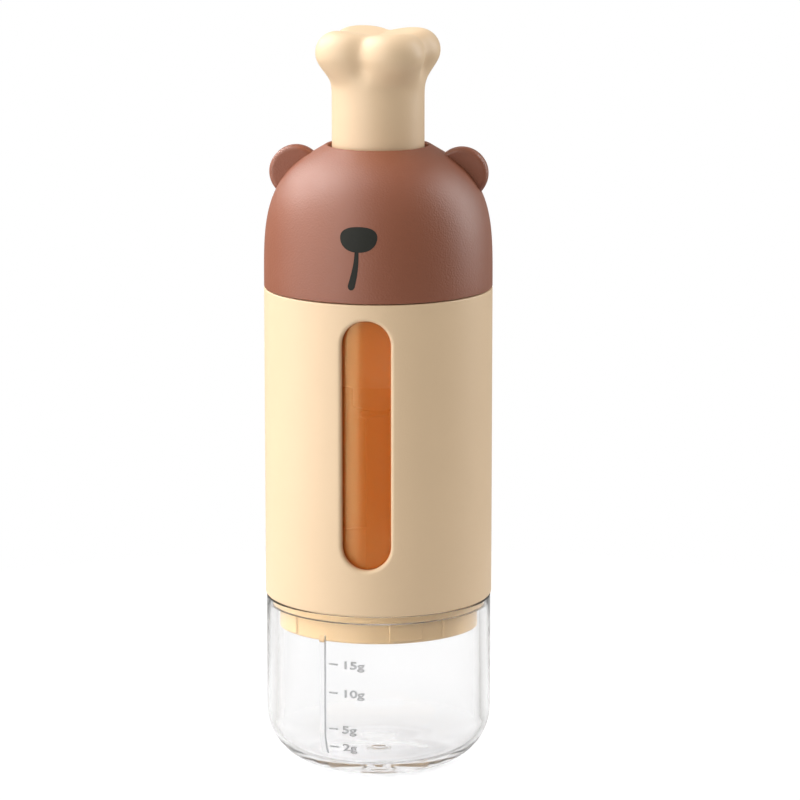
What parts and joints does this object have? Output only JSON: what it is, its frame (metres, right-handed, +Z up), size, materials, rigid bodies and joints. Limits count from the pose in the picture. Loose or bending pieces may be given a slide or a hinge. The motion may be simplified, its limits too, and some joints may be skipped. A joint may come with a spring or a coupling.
{
  "type": "portion control spice dispenser",
  "caption": "Press-type dispenser for ground spice: a hat-shaped knob on a head-shaped lid works a metering valve over a clear measuring cup.",
  "frame": {"origin": "centre of the measuring cup's foot, on the table", "axes": "+Z up along the press travel, -Y out of the window"},
  "size_m": [0.05, 0.05, 0.1628],
  "materials": {
    "cream_plastic": "fine satin moulding",
    "brown_plastic": "fine satin moulding",
    "amber_plastic": "smooth, translucent",
    "clear_plastic": "smooth, clear",
    "ring_plastic": "satin moulding, slightly yellower than the sleeve",
    "natural_plastic": "smooth natural white",
    "seal_rubber": "soft, grey-white",
    "rod_steel": "drawn bright",
    "spring_steel": "drawn wire",
    "dark_print": "printed ink"
  },
  "bodies": {
    "cup": {"measuring_cup": "clear_plastic"},
    "dispenser": {"outer_sleeve": "cream_plastic", "spice_barrel": "amber_plastic", "base_ring": "ring_plastic", "metering_funnel": "natural_plastic", "funnel_seal": "seal_rubber", "throat_bush": "natural_plastic"},
    "lid_seal": {"lid_gasket": "seal_rubber"},
    "lid": {"head_shell": "brown_plastic", "inner_cap": "natural_plastic", "guide_sleeve": "natural_plastic", "stem_guide": "natural_plastic", "gland_bush": "natural_plastic", "rod_wiper": "seal_rubber", "spring_washer": "rod_steel", "return_spring": "spring_steel"},
    "plunger": {"hat_knob": "cream_plastic", "stem_core": "natural_plastic", "push_rod": "rod_steel", "rod_tube": "natural_plastic", "rod_clip": "natural_plastic", "metering_spool": "natural_plastic", "upper_spool_seal": "seal_rubber", "lower_spool_seal": "seal_rubber", "rod_nut": "rod_steel"}
  },
  "joints": [
    {"name": "dispenser_lift", "type": "slide", "parent": "cup", "child": "dispenser", "axis": [0, 0, 1], "range_m": [0, 0.035]},
    {"name": "lid_rise", "type": "slide", "parent": "dispenser", "child": "lid_seal", "axis": [0, 0, 1], "range_m": [0, 0.0053]},
    {"name": "lid_turn", "type": "hinge", "parent": "lid_seal", "child": "lid", "pos_m": [0, 0, 0.117], "axis": [0, 0, 1], "range_deg": [0, 450]},
    {"name": "knob_press", "type": "slide", "parent": "lid", "child": "plunger", "axis": [0, 0, -1], "range_m": [0, 0.0095], "stiffness_N_per_m": 400, "springref_m": -0.005, "deforming": ["return_spring"]}
  ],
  "couplings": [
    {"joint": "lid_rise", "follows": "lid_turn", "m_per_rad": 0.00066845}
  ]
}
